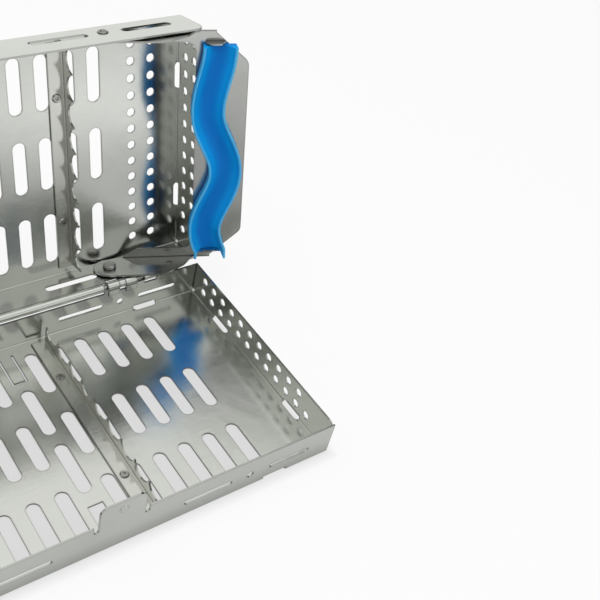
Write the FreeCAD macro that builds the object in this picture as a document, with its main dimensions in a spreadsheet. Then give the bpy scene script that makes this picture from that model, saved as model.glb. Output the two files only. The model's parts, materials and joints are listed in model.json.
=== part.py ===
import FreeCAD, Part
import math
import os
import re

import Sketcher

# Hinged cassette for hand instruments: a perforated sheet-metal base tray and lid,
# scalloped instrument racks riveted into both, a pin hinge along the back wall, and a
# hold-down bracket pivoted in the lid that carries a silicone rail.
#
# Frame: X along the hinge, +Y to the back, +Z up. The origin is under the centre of the
# base tray, on the surface it stands on. Lengths are millimetres, angles degrees.

SIZES = [
    # sheet metal
    ("sheet", 1.0, "sheet thickness of trays, racks and bracket"),
    ("bend_outer", 1.5, "outside radius of a folded edge"),
    ("bend_inner", 0.6, "inside radius of a folded edge"),
    ("seam_gap", 0.3, "open seam between two walls at a corner"),
    ("corner_hole", 2.5, "diameter of the relief hole at the foot of a seam"),
    # trays
    ("tray_length", 259.0, "inside length of base and lid"),
    ("tray_depth", 142.0, "inside depth of the base"),
    ("base_height", 23.0, "base walls, from the underside"),
    ("closed_height", 47.0, "height of the closed cassette"),
    ("lid_gap", 0.7, "clearance of the lid's front wall over the base's"),
    ("rim_gap", 0.5, "clearance of the lid's edge above the base's edge"),
    ("lid_front_drop", 27.0, "inside height of the lid's front wall"),
    ("lid_corner", 6.0, "corner radius of the lid's front wall"),
    ("base_corner", 3.5, "corner radius at the front of the base's end walls"),
    ("open_angle", 102.5, "opening of the lid"),
    # hinge
    ("pin_radius", 1.5, "hinge pin"),
    ("pin_clearance", 0.08, "between pin and knuckles"),
    ("hinge_back", 2.9, "hinge axis behind the inside of the back wall"),
    ("hinge_above", 0.2, "hinge axis above the base's edge"),
    ("lid_knuckle", 2.7, "outside radius of the lid's knuckles"),
    ("base_knuckle", 2.9, "outside radius of the base's knuckles"),
    ("knuckle_play", 0.2, "end play between knuckles"),
    ("notch_gap", 0.5, "clearance of a wall's notch around a knuckle"),
    ("band_end", 65.0, "half length of the lid's middle knuckle"),
    ("strap_one", 68.0, "start of the base's inner knuckle"),
    ("strap_two", 79.7, "start of the base's outer knuckle"),
    ("strap_width", 7.3, "width of a base knuckle"),
    ("link_end", 100.5, "end of the lid's outer knuckle and of the pin"),
    ("link_width", 8.0, "width of the lid's outer knuckle"),
    ("strap_proud", 0.5, "base knuckle's end proud of the inside of the wall"),
    ("strap_drop", 4.7, "base knuckle's end, down from the wall's edge"),
    # slots and holes
    ("slot_width", 7.5, "long slots of floor and panel"),
    ("slot_length", 31.2, "long slots, over the round ends"),
    ("slot_row", 46.7, "spacing of the rows of long slots"),
    ("row_shift", -1.0, "middle row from the middle of the base"),
    ("floor_first", 13.0, "first column of floor slots from the middle"),
    ("floor_pitch", 15.55, "spacing of the floor's columns"),
    ("floor_columns", 6, "columns of floor slots on each half"),
    ("panel_first", 14.0, "first column of lid slots from the middle"),
    ("panel_pitch", 15.35, "spacing of the lid's columns"),
    ("panel_columns", 5, "columns of lid slots on each half"),
    ("slot_rows", 3, "rows of long slots"),
    ("hole", 5.0, "diameter of the round holes"),
    ("hole_pitch", 10.0, "spacing of the round holes"),
    ("hole_rows", 13, "round holes in a full row"),
    ("panel_hole_outer", 111.3, "outer line of round holes in the lid"),
    ("panel_hole_inner", 98.5, "inner line of round holes in the lid"),
    ("panel_hole_end", 58.2, "last round hole of the lid towards the hinge"),
    ("base_hole_end", 59.5, "last hole of the base's end wall towards the hinge"),
    ("base_row_low", 8.6, "lower row of holes in the base's end wall"),
    ("base_row_high", 17.5, "upper row of holes in the base's end wall"),
    ("base_row_count", 12, "holes in the lower row"),
    ("lid_row_low", 8.0, "first row of holes in the lid's end wall, from the panel"),
    ("lid_row_high", 17.0, "second row, from the panel"),
    ("lid_row_skip", 2, "holes left out at the hinge end of the second row"),
    ("lid_row_short", 11, "holes in the lid's second row"),
    ("fold_slot", 15.5, "length of the relief slots on the folds"),
    ("fold_slot_width", 3.0, "width of the relief slots on the folds"),
    ("fold_slot_spread", 76.0, "spacing of the relief slots along an end fold"),
    ("fold_slot_back", 94.5, "relief slot on the long folds, from the middle"),
    ("wall_slot_z", 11.0, "height of the slots in the long walls"),
    ("wall_slot_height", 3.3, "height of the slots in the base's long walls"),
    ("lid_slot_height", 5.6, "height of the slots in the lid's long walls"),
    ("lid_slot_drop", 11.8, "slots in the lid's long walls, from the panel"),
    ("wall_slot_one", 50.5, "middle of the inner wall slot"),
    ("wall_slot_two", 102.0, "middle of the outer wall slot"),
    ("wall_slot_one_length", 29.0, "inner wall slot"),
    ("wall_slot_two_length", 26.0, "outer wall slot"),
    ("wall_hole", 4.2, "round hole between the wall slots"),
    ("wall_hole_x", 76.5, "round hole from the middle"),
    # features on the middle line of the floor
    ("middle_slot_back", 20.0, "middle slot towards the hinge"),
    ("middle_slot_front", -21.3, "middle slot towards the front"),
    ("middle_slot_length", 33.6, "middle slots, over the round ends"),
    ("tab_back", 64.3, "back end of the cut tab in the floor"),
    ("tab_length", 21.3, "length of the cut tab"),
    ("tab_width", 9.0, "width over the slit that frees the tab"),
    ("tab_slit", 1.0, "width of that slit"),
    ("window_front", -59.0, "front edge of the rectangular cut-out"),
    ("window_depth", 12.4, "depth of the rectangular cut-out"),
    ("window_width", 8.5, "width of the rectangular cut-out"),
    # snap tongue
    ("tongue_width", 25.3, "snap tongue at the middle of the front wall"),
    ("tongue_top", 36.0, "top of the tongue, from the underside"),
    ("tongue_round", 4.0, "corner radius of the tongue"),
    ("tongue_relief", 2.5, "width of the cuts beside the tongue's root"),
    ("tongue_relief_depth", 4.5, "depth of those cuts"),
    ("dimple", 5.0, "diameter of the tongue's dimple"),
    ("dimple_z", 29.8, "height of the dimple"),
    ("dimple_rise", 0.55, "rise of the dimple"),
    ("dimple_play", 0.5, "lid's catch hole around the dimple"),
    # racks
    ("rack_height", 11.0, "tip of a rack above its foot's face"),
    ("rack_foot", 9.7, "width of a rack's foot"),
    ("rack_pitch", 15.0, "spacing of the instrument places"),
    ("rack_places", 9, "instrument places"),
    ("scallop_radius", 7.15, "radius of a scallop"),
    ("scallop_depth", 6.0, "depth of a scallop"),
    ("rivet_inset", 5.6, "rivets from the upright's outer face"),
    ("rivet_spread", 75.0, "spacing of a rack's two rivets"),
    ("base_rack_right_x", 27.2, "upright of the base's right rack"),
    ("base_rack_left_x", 88.6, "upright of the base's left rack, to the left"),
    ("lid_rack_x", 58.0, "uprights of the lid's racks, from the middle"),
    ("lid_rack_shift", -1.0, "middle of the lid's racks"),
    # rivets
    ("rivet_shank", 1.5, "radius of a rack rivet's shank"),
    ("rivet_head", 2.6, "radius of a rack rivet's head"),
    ("rivet_rise", 0.8, "height of a rack rivet's head"),
    ("rivet_dent", 1.0, "radius of the dent in a rack rivet's head"),
    ("rivet_dent_depth", 0.4, "depth of that dent"),
    ("rivet_fit", 0.05, "rivet in its hole"),
    # hold-down bracket
    ("pivot_x", 76.5, "bracket pivot from the middle"),
    ("pivot_drop", 10.5, "bracket pivot below the panel's inside"),
    ("arm_gap", 0.8, "clearance between an arm and the lid's wall"),
    ("arm_end", 9.8, "radius of an arm's end"),
    ("frame_drop", 11.4, "pivot to the near face of the bracket's flat"),
    ("arm_start", 7.0, "where the flat begins along an arm"),
    ("flange_start", 18.0, "where the flange is full"),
    ("flange_width", 6.0, "flange along the inside of an arm"),
    ("plate_start", 51.0, "pivot to the plate"),
    ("plate_shoulder", 62.0, "pivot to the start of the plate's chamfers"),
    ("plate_end", 80.8, "pivot to the plate's free edge"),
    ("plate_free", 106.0, "length of the plate's free edge"),
    ("plate_round", 6.0, "corner radii of the plate"),
    ("arm_straight", 30.0, "where an arm's outer edge starts to fall"),
    ("arm_fall", 53.0, "where an arm's outer edge meets the flat"),
    ("detent_x", 36.7, "pivot to the detent bump, along the arm"),
    ("detent_z", 4.0, "detent bump below the pivot line"),
    ("detent_radius", 2.2, "radius of a detent bump"),
    ("detent_rise", 0.5, "rise of a detent bump"),
    ("stop_height", 5.5, "end stops of the rail, above the plate"),
    ("stop_width", 11.0, "width of an end stop"),
    ("stop_round", 4.5, "corner radius of an end stop"),
    ("stop_line", 61.5, "pivot to the middle of the end stops"),
    ("stop_gap", 0.3, "between the rail's end and its stop"),
    ("rest_gap", 0.25, "bracket above the lid's rim when it lies on it"),
    ("pivot_shank", 1.6, "radius of the pivot rivets' shanks"),
    ("pivot_fit", 0.08, "pivot rivet in the arm"),
    ("pivot_shoulder", 2.8, "radius of the rivet's shoulder between arm and wall"),
    ("pivot_head", 3.7, "radius of the rivet's inner head"),
    ("pivot_head_rise", 1.0, "height of the inner head"),
    ("pivot_tail", 3.0, "radius of the rivet's flared outer end"),
    ("pivot_tail_rise", 0.8, "height of the outer end"),
    ("pivot_play", 0.1, "play of an arm between head and shoulder"),
    # silicone rail
    ("rail_width", 19.5, "silicone rail across"),
    ("rail_height", 8.0, "silicone rail"),
    ("rail_wall", 2.4, "walls of the rail"),
    ("rail_floor", 2.2, "floor of the rail"),
    ("rail_length", 127.0, "rail along the plate"),
    ("rail_sway", 5.6, "sideways swing of the rail's waves"),
    ("rail_period", 75.0, "length of a wave"),
    ("rail_line", 63.2, "pivot to the rail's middle line"),
    ("rail_phase", 52.0, "back end of the rail to the first outward crest"),
    ("rail_calm", 0.55, "share of the swing beyond the next inward crest"),
]

doc = FreeCAD.newDocument("InstrumentTray")
sheet = doc.addObject("Spreadsheet::Sheet", "Sizes")
for row, (alias, size, note) in enumerate(SIZES, start=1):
    sheet.set("A%d" % row, alias)
    sheet.set("B%d" % row, str(size))
    sheet.setAlias("B%d" % row, alias)
    sheet.set("C%d" % row, note)
doc.recompute()
ALIASES = [alias for alias, size, note in SIZES]
working = doc.addObject("Spreadsheet::Sheet", "Working")


def qualified(formula):
    """The formula with each alias named by its sheet."""
    return re.sub(r"[a-z_]+", lambda m: "Sizes." + m.group(0) if m.group(0) in ALIASES else m.group(0), formula)


def value(formula):
    """The number that a formula of sheet sizes gives, from a cell of the working sheet."""
    working.set("A1", "=" + qualified(formula))
    working.recompute()
    return float(working.get("A1"))


def bind(item, prop, formula):
    """Ties a property of an object to a formula of sheet sizes."""
    item.setExpression(prop, qualified(formula))


def origin_item(body, role):
    """A plane or axis of the body's own origin."""
    return next(f for f in body.Origin.OriginFeatures if f.Role == role)


def new_body(label):
    body = doc.addObject("PartDesign::Body", label)
    body.Label = label
    return body


def new_sketch(body, role, offset="0"):
    """A sketch on an origin plane, moved along the plane's normal."""
    sketch = body.newObject("Sketcher::SketchObject", body.Label + "_sketch")
    sketch.AttachmentSupport = [(origin_item(body, role), "")]
    sketch.MapMode = "FlatFace"
    bind(sketch, "AttachmentOffset.Base.z", offset)
    return sketch


def locate(sketch, edge, end, across, up):
    """Places a point of the sketch at two formulas."""
    for kind, formula in (("DistanceX", across), ("DistanceY", up)):
        number = sketch.addConstraint(Sketcher.Constraint(kind, -1, 1, edge, end, value(formula)))
        bind(sketch, "Constraints[%d]" % number, formula)


def polygon(sketch, corners):
    """A closed outline through corners given as pairs of formulas."""
    points = [FreeCAD.Vector(value(a), value(b), 0) for a, b in corners]
    lines = [Part.LineSegment(p, q) for p, q in zip(points, points[1:] + points[:1])]
    first = sketch.addGeometry(lines)[0]
    for n in range(len(points)):
        following = first + (n + 1) % len(points)
        sketch.addConstraint(Sketcher.Constraint("Coincident", first + n, 2, following, 1))
    for n, (across, up) in enumerate(corners):
        locate(sketch, first + n, 1, across, up)


def rectangle(sketch, left, low, right, high):
    polygon(sketch, [(left, low), (right, low), (right, high), (left, high)])


def circle(sketch, across, up, radius):
    centre = FreeCAD.Vector(value(across), value(up), 0)
    number = sketch.addGeometry(Part.Circle(centre, FreeCAD.Vector(0, 0, 1), value(radius)))
    locate(sketch, number, 3, across, up)
    rule = sketch.addConstraint(Sketcher.Constraint("Radius", number, value(radius)))
    bind(sketch, "Constraints[%d]" % rule, radius)


def slot(sketch, across, up, length, width, upright):
    """A slot with round ends, centred at a point; length is over the ends."""
    half = "(" + length + " - " + width + ") / 2"
    if upright:
        ends = [(across, up + " + " + half), (across, up + " - " + half)]
        turn = 0.0
    else:
        ends = [(across + " - " + half, up), (across + " + " + half, up)]
        turn = math.pi / 2
    radius = value(width) / 2
    first_end, second_end = [FreeCAD.Vector(value(a), value(b), 0) for a, b in ends]
    axis = FreeCAD.Vector(0, 0, 1)
    arc_one = Part.ArcOfCircle(Part.Circle(first_end, axis, radius), turn, turn + math.pi)
    arc_two = Part.ArcOfCircle(Part.Circle(second_end, axis, radius), turn + math.pi, turn + 2 * math.pi)
    side_one = Part.LineSegment(arc_one.EndPoint, arc_two.StartPoint)
    side_two = Part.LineSegment(arc_two.EndPoint, arc_one.StartPoint)
    first = sketch.addGeometry([arc_one, side_one, arc_two, side_two])[0]
    for one, one_end, other, other_end in ((0, 2, 1, 1), (1, 2, 2, 1), (2, 2, 3, 1), (3, 2, 0, 1)):
        sketch.addConstraint(Sketcher.Constraint("Tangent", first + one, one_end, first + other, other_end))
    locate(sketch, first, 3, ends[0][0], ends[0][1])
    locate(sketch, first + 2, 3, ends[1][0], ends[1][1])
    rule = sketch.addConstraint(Sketcher.Constraint("Radius", first, radius))
    bind(sketch, "Constraints[%d]" % rule, "(" + width + ") / 2")


def pad(sketch, length, backwards=False, midplane=False):
    body = sketch.getParentGeoFeatureGroup()
    feature = body.newObject("PartDesign::Pad", body.Label + "_pad")
    feature.Profile = sketch
    feature.Reversed = backwards
    feature.Midplane = midplane
    bind(feature, "Length", length)
    doc.recompute()
    return feature


def pocket(sketch, length=None, backwards=False, midplane=False):
    """A cut; without a length it goes through everything."""
    body = sketch.getParentGeoFeatureGroup()
    before = body.Shape.Volume
    feature = body.newObject("PartDesign::Pocket", body.Label + "_pocket")
    feature.Profile = sketch
    feature.Reversed = backwards
    feature.Midplane = midplane
    if length is None:
        feature.Type = "ThroughAll"
    else:
        bind(feature, "Length", length)
    doc.recompute()
    if feature.Shape.isNull() or feature.Shape.Volume >= before:
        raise RuntimeError("a pocket of %s cuts nothing" % body.Label)
    return feature


def pattern(feature, role, pitch, count, backwards=False):
    """Repeats a feature along an axis of its body."""
    body = feature.getParentGeoFeatureGroup()
    row = body.newObject("PartDesign::LinearPattern", body.Label + "_pattern")
    row.Originals = [feature]
    row.Direction = (origin_item(body, role), [""])
    row.Reversed = backwards
    bind(row, "Length", "(" + pitch + ") * (" + count + " - 1)")
    bind(row, "Occurrences", count)
    body.Tip = row
    doc.recompute()
    return row


def grid(feature, pitch_x, count_x, pitch_y, count_y):
    """Repeats a feature along +X and -Y of its body."""
    body = feature.getParentGeoFeatureGroup()
    block = body.newObject("PartDesign::MultiTransform", body.Label + "_grid")
    block.Originals = [feature]
    rows = []
    for role, pitch, count, backwards in (
        ("X_Axis", pitch_x, count_x, False),
        ("Y_Axis", pitch_y, count_y, True),
    ):
        row = body.newObject("PartDesign::LinearPattern", body.Label + "_pattern")
        row.Direction = (origin_item(body, role), [""])
        row.Reversed = backwards
        bind(row, "Length", "(" + pitch + ") * (" + count + " - 1)")
        bind(row, "Occurrences", count)
        rows.append(row)
    block.Transformations = rows
    body.Tip = block
    doc.recompute()
    return block


def mirror_whole(body):
    """Completes a half body across its YZ plane."""
    whole = body.newObject("PartDesign::Mirrored", body.Label + "_mirror")
    whole.MirrorPlane = (origin_item(body, "YZ_Plane"), [""])
    whole.TransformMode = "Whole shape"
    body.Tip = whole
    doc.recompute()
    return whole


def edges_where(body, test):
    """Names of the straight edges whose two ends pass a test."""
    names = []
    for number, edge in enumerate(body.Shape.Edges, start=1):
        if len(edge.Vertexes) == 2 and "Line" in edge.Curve.TypeId:
            first, last = [v.Point for v in edge.Vertexes]
            if test(first, last):
                names.append("Edge%d" % number)
    return names


def fillet(body, test, radius):
    names = edges_where(body, test)
    if not names:
        raise RuntimeError("no edge to round on %s" % body.Label)
    base = body.Tip
    feature = body.newObject("PartDesign::Fillet", body.Label + "_fillet")
    feature.Base = (base, names)
    bind(feature, "Radius", radius)
    doc.recompute()
    return feature


def near(a, b):
    return abs(a - b) < 1e-4


HALF_X = "tray_length / 2"
HALF_Y = "tray_depth / 2"
PANEL_Z = "(closed_height - sheet)"
LID_FRONT = "(tray_depth / 2 + sheet + lid_gap)"
HINGE_Y = "(tray_depth / 2 + hinge_back)"
HINGE_Z = "(base_height + hinge_above)"
LID_EDGE = "(base_height + rim_gap)"
LINK_START = "(link_end - link_width)"
STRAP_ONE_END = "(strap_one + strap_width)"
STRAP_TWO_END = "(strap_two + strap_width)"
LINK_TWO_START = "(strap_one + strap_width + knuckle_play)"
LINK_TWO_END = "(strap_two - knuckle_play)"


def knuckle(body, start, end, radius):
    """A tube around the hinge axis, from start to end along X."""
    tube = new_sketch(body, "YZ_Plane", start)
    circle(tube, HINGE_Y, HINGE_Z, radius)
    pad(tube, end + " - " + start)


def pin_bore(body):
    bore = new_sketch(body, "YZ_Plane")
    circle(bore, HINGE_Y, HINGE_Z, "pin_radius + pin_clearance")
    pocket(bore, backwards=True)


def fold_slots(body, level, depth, backwards):
    """Relief slots on the folds: on the end fold, and on the two long folds."""
    ends = new_sketch(body, "XY_Plane", level)
    across = HALF_X + " + sheet / 2"
    width = "(2 * fold_slot_width - sheet)"
    for sign in ("+", "-"):
        slot(ends, across, "row_shift " + sign + " fold_slot_spread / 2", "fold_slot", width, True)
    pocket(ends, depth, backwards=backwards)


def base_tray():
    body = new_body("base_tray")
    # Folded box, right half.
    block = new_sketch(body, "XY_Plane")
    rectangle(block, "0", "-" + HALF_Y + " - sheet", HALF_X + " + sheet", HALF_Y + " + sheet")
    pad(block, "base_height")
    fillet(body, lambda p, q: near(p.z, 0) and near(q.z, 0) and max(p.x, q.x) > 1, "bend_outer")
    inside = new_sketch(body, "XY_Plane", "sheet")
    rectangle(inside, "-sheet", "-" + HALF_Y, HALF_X, HALF_Y)
    pocket(inside, backwards=True)
    floor = value("sheet")
    fillet(body, lambda p, q: near(p.z, floor) and near(q.z, floor) and max(p.x, q.x) > 1, "bend_inner")
    # Snap tongue on the front wall, with its root cuts and dimple.
    wall = "(" + HALF_Y + ")"
    tongue = new_sketch(body, "XZ_Plane", wall)
    half = "tongue_width / 2"
    rectangle(tongue, "0", "base_height - sheet", half, "tongue_top")
    pad(tongue, "sheet")
    top = value("tongue_top")
    fillet(
        body,
        lambda p, q: near(p.z, top) and near(q.z, top) and near(p.x, q.x) and p.x > 1,
        "tongue_round",
    )
    cuts = new_sketch(body, "XZ_Plane", wall + " - sheet")
    slot(
        cuts,
        half + " + tongue_relief / 2",
        "base_height",
        "2 * tongue_relief_depth",
        "tongue_relief",
        True,
    )
    pocket(cuts, "3 * sheet", backwards=True)
    bump = new_sketch(body, "XZ_Plane", wall + " + sheet")
    circle(bump, "0", "dimple_z", "dimple / 2")
    rise = pad(bump, "dimple_rise")
    rise.TaperAngle = -50
    hollow = new_sketch(body, "XZ_Plane", wall)
    circle(hollow, "0", "dimple_z", "dimple / 2 - dimple_rise")
    pocket(hollow, "dimple_rise", backwards=True)
    # Long slots of the floor, and the features of its middle line.
    first = new_sketch(body, "XY_Plane")
    slot(first, "floor_first", "row_shift + slot_row", "slot_length", "slot_width", True)
    cut = pocket(first, "sheet", backwards=True)
    grid(cut, "floor_pitch", "floor_columns", "slot_row", "slot_rows")
    middle = new_sketch(body, "XY_Plane")
    slot(middle, "0", "middle_slot_back", "middle_slot_length", "slot_width", True)
    slot(middle, "0", "middle_slot_front", "middle_slot_length", "slot_width", True)
    pocket(middle, "sheet", backwards=True)
    tab = new_sketch(body, "XY_Plane")
    inner = "(tab_width / 2 - tab_slit)"
    polygon(
        tab,
        [
            (inner, "tab_back"),
            (inner, "tab_back - tab_length + tab_slit"),
            ("-sheet", "tab_back - tab_length + tab_slit"),
            ("-sheet", "tab_back - tab_length"),
            ("tab_width / 2", "tab_back - tab_length"),
            ("tab_width / 2", "tab_back"),
        ],
    )
    pocket(tab, "sheet", backwards=True)
    window = new_sketch(body, "XY_Plane")
    rectangle(window, "-sheet", "window_front", "window_width / 2", "window_front + window_depth")
    pocket(window, "sheet", backwards=True)
    # Slots and a hole through both long walls.
    walls = new_sketch(body, "XZ_Plane")
    slot(walls, "wall_slot_one", "wall_slot_z", "wall_slot_one_length", "wall_slot_height", False)
    slot(walls, "wall_slot_two", "wall_slot_z", "wall_slot_two_length", "wall_slot_height", False)
    circle(walls, "wall_hole_x", "wall_slot_z", "wall_hole / 2")
    pocket(walls, "2 * tray_depth", midplane=True)
    # Two rows of round holes in the end wall.
    for level, count in (("base_row_low", "base_row_count"), ("base_row_high", "base_row_count - 1")):
        row = new_sketch(body, "YZ_Plane", HALF_X + " - sheet")
        circle(row, "base_hole_end", level, "hole / 2")
        cut = pocket(row, "3 * sheet", backwards=True)
        pattern(cut, "Y_Axis", "hole_pitch", count, backwards=True)
    # Relief slots on the folds, open seams at the corners with a hole at their foot.
    fold_slots(body, "-sheet", "sheet + fold_slot_width", True)
    long_folds = new_sketch(body, "XY_Plane", "-sheet")
    for sign in ("", "-"):
        slot(
            long_folds,
            "fold_slot_back",
            sign + "(" + HALF_Y + " + sheet / 2)",
            "fold_slot",
            "(2 * fold_slot_width - sheet)",
            False,
        )
    pocket(long_folds, "sheet + fold_slot_width", backwards=True)
    seams = new_sketch(body, "XY_Plane", "sheet + corner_hole / 2")
    rectangle(seams, HALF_X + " - sheet / 2", "-" + HALF_Y, HALF_X + " + 2 * sheet", "-" + HALF_Y + " + seam_gap")
    rectangle(seams, HALF_X + " - sheet / 2", HALF_Y + " - seam_gap", HALF_X + " + 2 * sheet", HALF_Y)
    pocket(seams, backwards=True)
    feet = new_sketch(body, "YZ_Plane", HALF_X + " - sheet")
    for sign in ("", "-"):
        circle(feet, sign + "(" + HALF_Y + " - corner_hole / 2)", "sheet + corner_hole / 2", "corner_hole / 2")
    pocket(feet, "3 * sheet", backwards=True)
    edge_y = -value(HALF_Y + " - seam_gap")
    top = value("base_height")
    fillet(
        body,
        lambda p, q: near(p.y, edge_y) and near(q.y, edge_y) and near(p.z, top) and near(q.z, top),
        "base_corner",
    )
    # Hinge: the wall is notched around the lid's knuckles and curls into its own.
    notch = new_sketch(body, "XZ_Plane", "-" + HALF_Y + " - 2 * sheet")
    low = HINGE_Z + " - lid_knuckle + notch_gap - sheet / 2"
    for start, end in (
        ("-sheet", "band_end + knuckle_play"),
        (STRAP_ONE_END, "strap_two"),
        (LINK_START + " - knuckle_play", "link_end + knuckle_play"),
    ):
        rectangle(notch, start, low, end, "base_height + sheet")
    pocket(notch, "4 * sheet", backwards=True)
    for start, end in (("strap_one", STRAP_ONE_END), ("strap_two", STRAP_TWO_END)):
        knuckle(body, start, end, "base_knuckle")
        strap = new_sketch(body, "XZ_Plane", "-" + HALF_Y)
        rectangle(strap, start, "base_height - strap_drop", end, "base_height - strap_proud")
        pad(strap, "strap_proud")
    pin_bore(body)
    mirror_whole(body)
    # Rivet holes of the racks.
    holes = new_sketch(body, "XY_Plane", "-sheet")
    for across in ("base_rack_right_x - rivet_inset", "rivet_inset - base_rack_left_x"):
        for sign in ("", "-"):
            circle(holes, across, sign + "rivet_spread / 2", "rivet_shank + rivet_fit")
    pocket(holes, "3 * sheet", backwards=True)
    return body


def lid_tray():
    body = new_body("lid_tray")
    # Folded box, closed, right half; the front wall overlaps the base's.
    block = new_sketch(body, "XY_Plane", "closed_height")
    rectangle(block, "0", "-" + LID_FRONT + " - sheet", HALF_X + " + sheet", HALF_Y + " + sheet")
    pad(block, "lid_front_drop + sheet", backwards=True)
    top = value("closed_height")
    fillet(body, lambda p, q: near(p.z, top) and near(q.z, top) and max(p.x, q.x) > 1, "bend_outer")
    inside = new_sketch(body, "XY_Plane", PANEL_Z)
    rectangle(inside, "-sheet", "-" + LID_FRONT, HALF_X, HALF_Y)
    pocket(inside)
    panel = value(PANEL_Z)
    fillet(body, lambda p, q: near(p.z, panel) and near(q.z, panel) and max(p.x, q.x) > 1, "bend_inner")
    trim = new_sketch(body, "XY_Plane", LID_EDGE)
    rectangle(trim, "-sheet", "-" + LID_FRONT, HALF_X + " + 2 * sheet", HALF_Y + " + 2 * sheet")
    pocket(trim)
    corner_x = value(HALF_X + " + sheet")
    corner_z = value(PANEL_Z + " - lid_front_drop")
    fillet(
        body,
        lambda p, q: near(p.x, corner_x) and near(q.x, corner_x) and near(p.z, corner_z) and near(q.z, corner_z),
        "lid_corner",
    )
    # Long slots and lines of round holes in the panel.
    first = new_sketch(body, "XY_Plane", PANEL_Z)
    slot(first, "panel_first", "row_shift + slot_row", "slot_length", "slot_width", True)
    cut = pocket(first, "sheet", backwards=True)
    grid(cut, "panel_pitch", "panel_columns", "slot_row", "slot_rows")
    for across in ("panel_hole_inner", "panel_hole_outer"):
        line = new_sketch(body, "XY_Plane", PANEL_Z)
        circle(line, across, "panel_hole_end", "hole / 2")
        cut = pocket(line, "sheet", backwards=True)
        pattern(cut, "Y_Axis", "hole_pitch", "hole_rows", backwards=True)
    # Rows of round holes in the end wall.
    for drop, skip, count in (
        ("lid_row_low", "0", "hole_rows"),
        ("lid_row_high", "lid_row_skip", "lid_row_short"),
    ):
        row = new_sketch(body, "YZ_Plane", HALF_X + " - sheet")
        circle(row, "panel_hole_end - " + skip + " * hole_pitch", PANEL_Z + " - " + drop, "hole / 2")
        cut = pocket(row, "3 * sheet", backwards=True)
        pattern(cut, "Y_Axis", "hole_pitch", count, backwards=True)
    # Slots in the long walls, the catch hole for the tongue, relief slots on the folds.
    walls = new_sketch(body, "XZ_Plane")
    level = PANEL_Z + " - lid_slot_drop"
    slot(walls, "wall_slot_one", level, "wall_slot_one_length + 4 * sheet", "lid_slot_height", False)
    slot(walls, "wall_slot_two", level, "wall_slot_two_length + 4 * sheet", "lid_slot_height", False)
    pocket(walls, "2 * tray_depth", midplane=True)
    catch = new_sketch(body, "XZ_Plane", LID_FRONT + " - sheet")
    circle(catch, "0", "dimple_z", "dimple / 2 + dimple_play")
    pocket(catch, "3 * sheet", backwards=True)
    fold_slots(body, "closed_height + sheet", "sheet + fold_slot_width", False)
    seams = new_sketch(body, "XY_Plane", PANEL_Z + " - corner_hole / 2")
    rectangle(seams, HALF_X + " - sheet / 2", "-" + LID_FRONT, HALF_X + " + 2 * sheet", "-" + LID_FRONT + " + seam_gap")
    rectangle(seams, HALF_X + " - sheet / 2", HALF_Y + " - seam_gap", HALF_X + " + 2 * sheet", HALF_Y)
    pocket(seams)
    feet = new_sketch(body, "YZ_Plane", HALF_X + " - sheet")
    circle(feet, HALF_Y + " - corner_hole / 2", PANEL_Z + " - corner_hole / 2", "corner_hole / 2")
    circle(feet, "-" + LID_FRONT + " + corner_hole / 2", PANEL_Z + " - corner_hole / 2", "corner_hole / 2")
    pocket(feet, "3 * sheet", backwards=True)
    # Hinge: notches over the base's knuckles, then the lid's own.
    notch = new_sketch(body, "XZ_Plane", "-" + HALF_Y + " - 2 * sheet")
    high = HINGE_Z + " + base_knuckle - notch_gap + sheet / 2"
    for start in ("strap_one", "strap_two"):
        end = start + " + strap_width + knuckle_play"
        rectangle(notch, start + " - knuckle_play", "base_height - sheet", end, high)
    pocket(notch, "4 * sheet", backwards=True)
    for start, end in (
        ("0", "band_end"),
        (LINK_TWO_START, LINK_TWO_END),
        (LINK_START, "link_end"),
    ):
        knuckle(body, start, end, "lid_knuckle")
    pin_bore(body)
    mirror_whole(body)
    # Pivot holes for the hold-down bracket, on the right.
    pivots = new_sketch(body, "XZ_Plane")
    circle(pivots, "pivot_x", PANEL_Z + " - pivot_drop", "pivot_shank + rivet_fit")
    pocket(pivots, "2 * tray_depth", midplane=True)
    # Rivet holes of the racks.
    holes = new_sketch(body, "XY_Plane", PANEL_Z + " - sheet")
    for across in ("lid_rack_x - rivet_inset", "rivet_inset - lid_rack_x"):
        for sign in ("+", "-"):
            circle(holes, across, "lid_rack_shift " + sign + " rivet_spread / 2", "rivet_shank + rivet_fit")
    pocket(holes, "3 * sheet", backwards=True)
    return body


def rack(label):
    """Angle strip: foot to the left of the upright, scallops along its edge."""
    body = new_body(label)
    profile = new_sketch(body, "XZ_Plane")
    polygon(
        profile,
        [
            ("-rack_foot", "0"),
            ("0", "0"),
            ("0", "rack_height"),
            ("-sheet", "rack_height"),
            ("-sheet", "sheet"),
            ("-rack_foot", "sheet"),
        ],
    )
    pad(profile, "rack_pitch * rack_places", midplane=True)
    fillet(body, lambda p, q: near(p.x, 0) and near(q.x, 0) and near(p.z, 0) and near(q.z, 0), "bend_outer")
    inner = -value("sheet")
    fillet(
        body,
        lambda p, q: near(p.x, inner) and near(q.x, inner) and near(p.z, -inner) and near(q.z, -inner),
        "bend_inner",
    )
    bite = new_sketch(body, "YZ_Plane", "-2 * sheet")
    circle(
        bite,
        "rack_pitch * (rack_places - 1) / 2",
        "rack_height - scallop_depth + scallop_radius",
        "scallop_radius",
    )
    cut = pocket(bite, "4 * sheet", backwards=True)
    pattern(cut, "Y_Axis", "rack_pitch", "rack_places", backwards=True)
    holes = new_sketch(body, "XY_Plane")
    for sign in ("", "-"):
        circle(holes, "-rivet_inset", sign + "rivet_spread / 2", "rivet_shank + rivet_fit")
    pocket(holes, "2 * sheet", backwards=True)
    return body


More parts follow.
